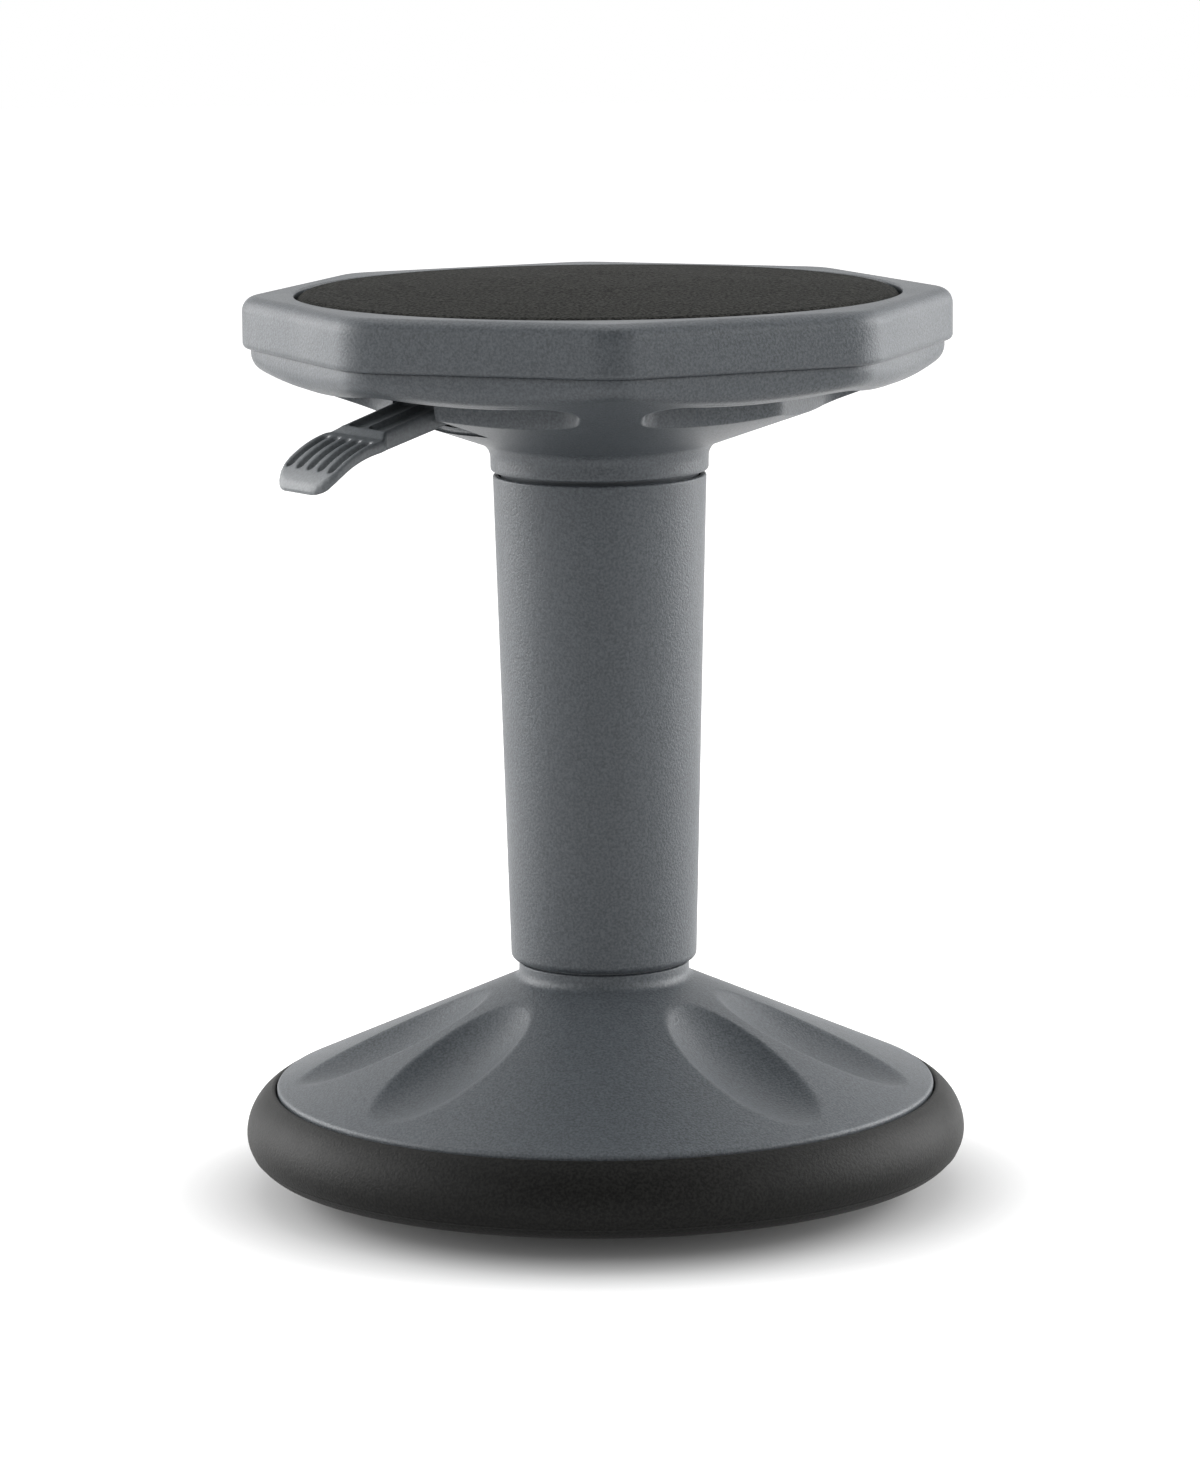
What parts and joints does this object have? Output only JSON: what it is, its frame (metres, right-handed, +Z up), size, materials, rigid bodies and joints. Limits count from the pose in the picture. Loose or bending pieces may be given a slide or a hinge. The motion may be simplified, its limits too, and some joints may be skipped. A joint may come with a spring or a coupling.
{
  "type": "wobble stool",
  "caption": "Height-adjustable wobble stool: octagonal padded seat with grip pockets and a release lever, telescoping column, and a domed base with a rubber ring that rocks on the floor.",
  "frame": {"origin": "centre of the sole's flat middle, on the floor, under the column's centre line", "axes": "+Z up along the column; -Y is the side that faces the camera in the picture; +X to its right"},
  "size_m": [0.3554, 0.3554, 0.4498],
  "materials": {
    "shell_plastic": "moulded grey plastic with a fine spark-eroded grain",
    "sole_plastic": "dark moulded plastic",
    "sleeve_plastic": "smooth dark grey plastic",
    "ring_rubber": "black rubber, fine matt skin",
    "seal_rubber": "black rubber",
    "bush_plastic": "natural low-friction plastic",
    "mount_steel": "black painted steel",
    "lift_steel": "black enamelled steel",
    "bright_steel": "ground steel",
    "screw_steel": "zinc plated steel",
    "insert_brass": "brass",
    "pad_foam": "dark speckled olive-brown foam pad with a fine fabric face",
    "lever_plastic": "moulded dark grey plastic"
  },
  "bodies": {
    "base": {"sole_plate": "sole_plastic", "sole_screws": "screw_steel", "base_shell": "shell_plastic", "rubber_ring": "ring_rubber", "cone_socket": "mount_steel", "column_tube": "shell_plastic", "column_screws": "screw_steel", "stand_tube": "lift_steel", "guide_bush": "bush_plastic", "bearing_lower_race": "bright_steel", "bearing_balls": "bright_steel"},
    "lift_rod": {"bearing_upper_race": "bright_steel", "piston_rod": "bright_steel", "rod_clip": "screw_steel", "piston": "bright_steel", "piston_seal": "seal_rubber", "rubber_bumper": "seal_rubber"},
    "seat": {"pressure_tube": "lift_steel", "rod_guide": "bush_plastic", "rod_seal": "seal_rubber", "valve_body": "bright_steel", "cone_hub": "mount_steel", "lift_housing": "mount_steel", "seat_plate": "mount_steel", "plate_screws": "screw_steel", "threaded_inserts": "insert_brass", "seat_lower_shell": "shell_plastic", "neck_sleeve": "sleeve_plastic", "sleeve_screws": "screw_steel", "shell_screws": "screw_steel", "seat_top_shell": "shell_plastic", "seat_pad": "pad_foam", "lever_pin": "screw_steel", "pin_clip": "screw_steel"},
    "lever": {"lever_arm": "mount_steel", "lever_grip": "lever_plastic"},
    "valve_pin": {"release_pin": "bright_steel"}
  },
  "joints": [
    {"name": "swivel", "type": "hinge", "parent": "base", "child": "lift_rod", "pos_m": [0, 0, 0.05], "axis": [0, 0, 1], "continuous": true},
    {"name": "height", "type": "slide", "parent": "lift_rod", "child": "seat", "axis": [0, 0, 1], "range_m": [0, 0.16]},
    {"name": "release_lever", "type": "hinge", "parent": "seat", "child": "lever", "pos_m": [-0.02412, -0.01784, 0.407], "axis": [-0.5948, 0.8039, 0], "range_deg": [0, 6], "stiffness_Nm_per_rad": 8},
    {"name": "valve_press", "type": "slide", "parent": "seat", "child": "valve_pin", "axis": [0, 0, -1], "range_m": [0, 0.0033]}
  ],
  "couplings": [
    {"joint": "valve_press", "follows": "release_lever", "m_per_rad": 0.031}
  ]
}
